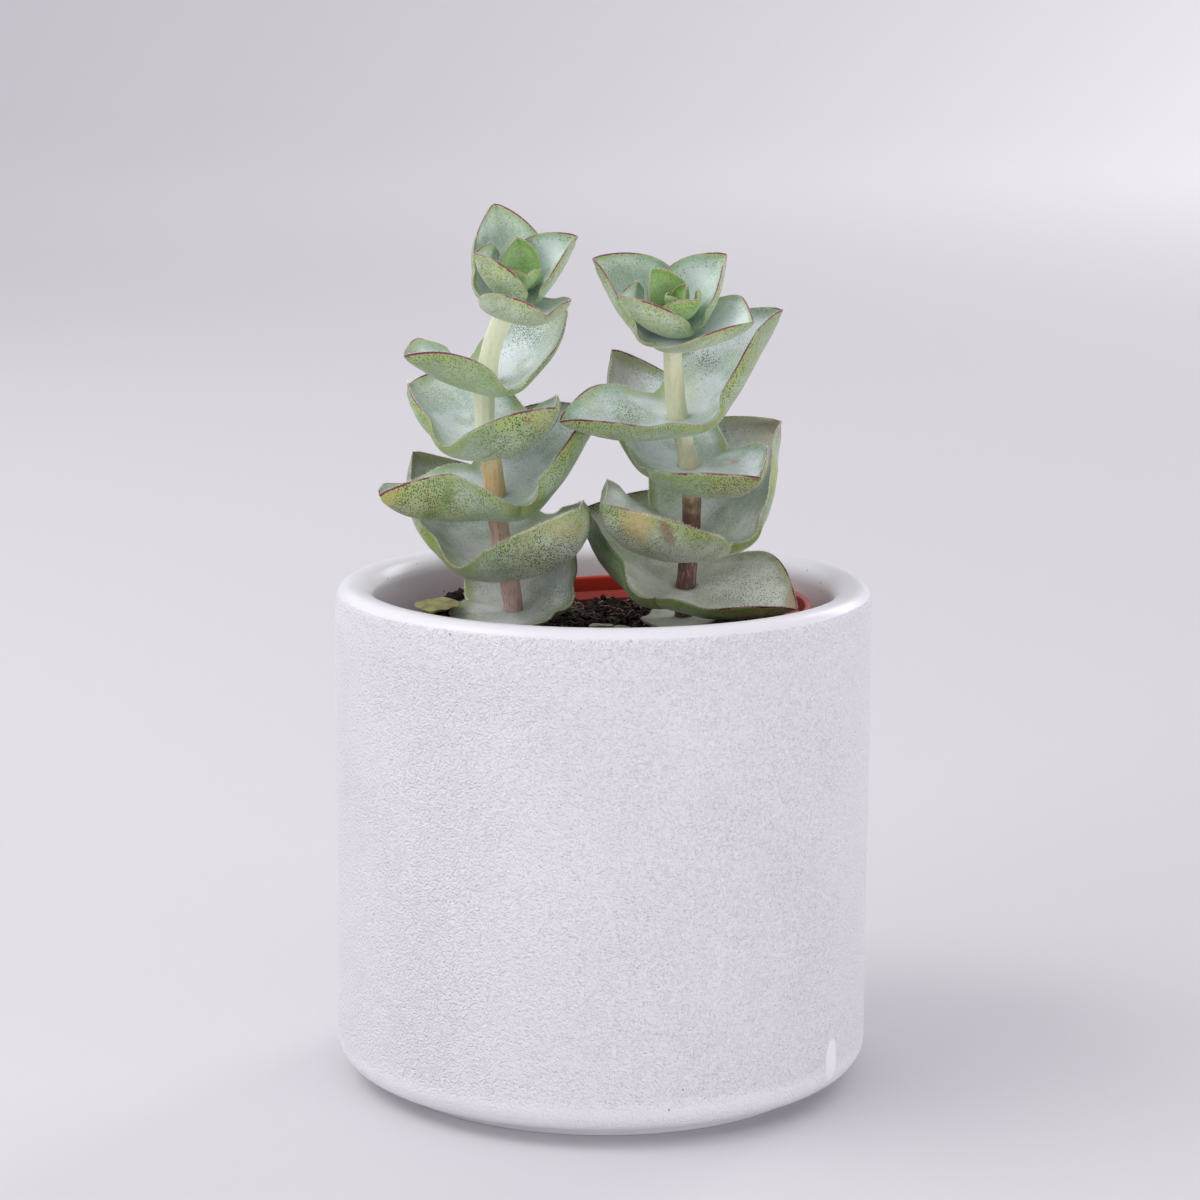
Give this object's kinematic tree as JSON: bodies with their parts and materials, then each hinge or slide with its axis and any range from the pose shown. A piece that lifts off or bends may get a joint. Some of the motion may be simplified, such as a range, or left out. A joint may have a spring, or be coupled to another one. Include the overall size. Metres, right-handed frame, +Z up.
{
  "type": "potted succulent plant",
  "caption": "Leafy crassula on bare stems in a thin red nursery pot, standing in a white textured round cover pot.",
  "frame": {"origin": "centre of the cover pot's foot, on the surface it stands on", "axes": "+Z up along the pot's axis; the plant's tops lean towards -Y, the front"},
  "size_m": [0.075, 0.075, 0.1228],
  "materials": {
    "white_ceramic": "glazed ceramic, satin white with a fine pebbled skin",
    "red_plastic": "thin terracotta-red plastic",
    "peat": "dark loose peat",
    "stem_bark": "cream to brown, fine ribs",
    "old_leaf_skin": "waxy, speckled grey-green",
    "leaf_skin": "waxy, blue-green bloom, maroon edge",
    "young_leaf_skin": "waxy, fresh green, maroon edge",
    "dry_leaf_skin": "dry, olive and grey"
  },
  "bodies": {
    "root": {"cover_pot": "white_ceramic", "nursery_pot": "red_plastic", "soil": "peat", "stem_left": "stem_bark", "stem_right": "stem_bark", "left_pair_1": "old_leaf_skin", "left_pair_2": "old_leaf_skin", "left_pair_3": "old_leaf_skin", "left_pair_4": "leaf_skin", "left_pair_5": "leaf_skin", "right_pair_1": "old_leaf_skin", "right_pair_2": "old_leaf_skin", "right_pair_3": "old_leaf_skin", "right_pair_4": "leaf_skin", "right_pair_5": "leaf_skin", "left_rosette": "young_leaf_skin", "right_rosette": "young_leaf_skin", "old_leaf": "dry_leaf_skin", "dry_leaf_front": "dry_leaf_skin", "dry_leaf_side": "dry_leaf_skin"}
  },
  "joints": []
}
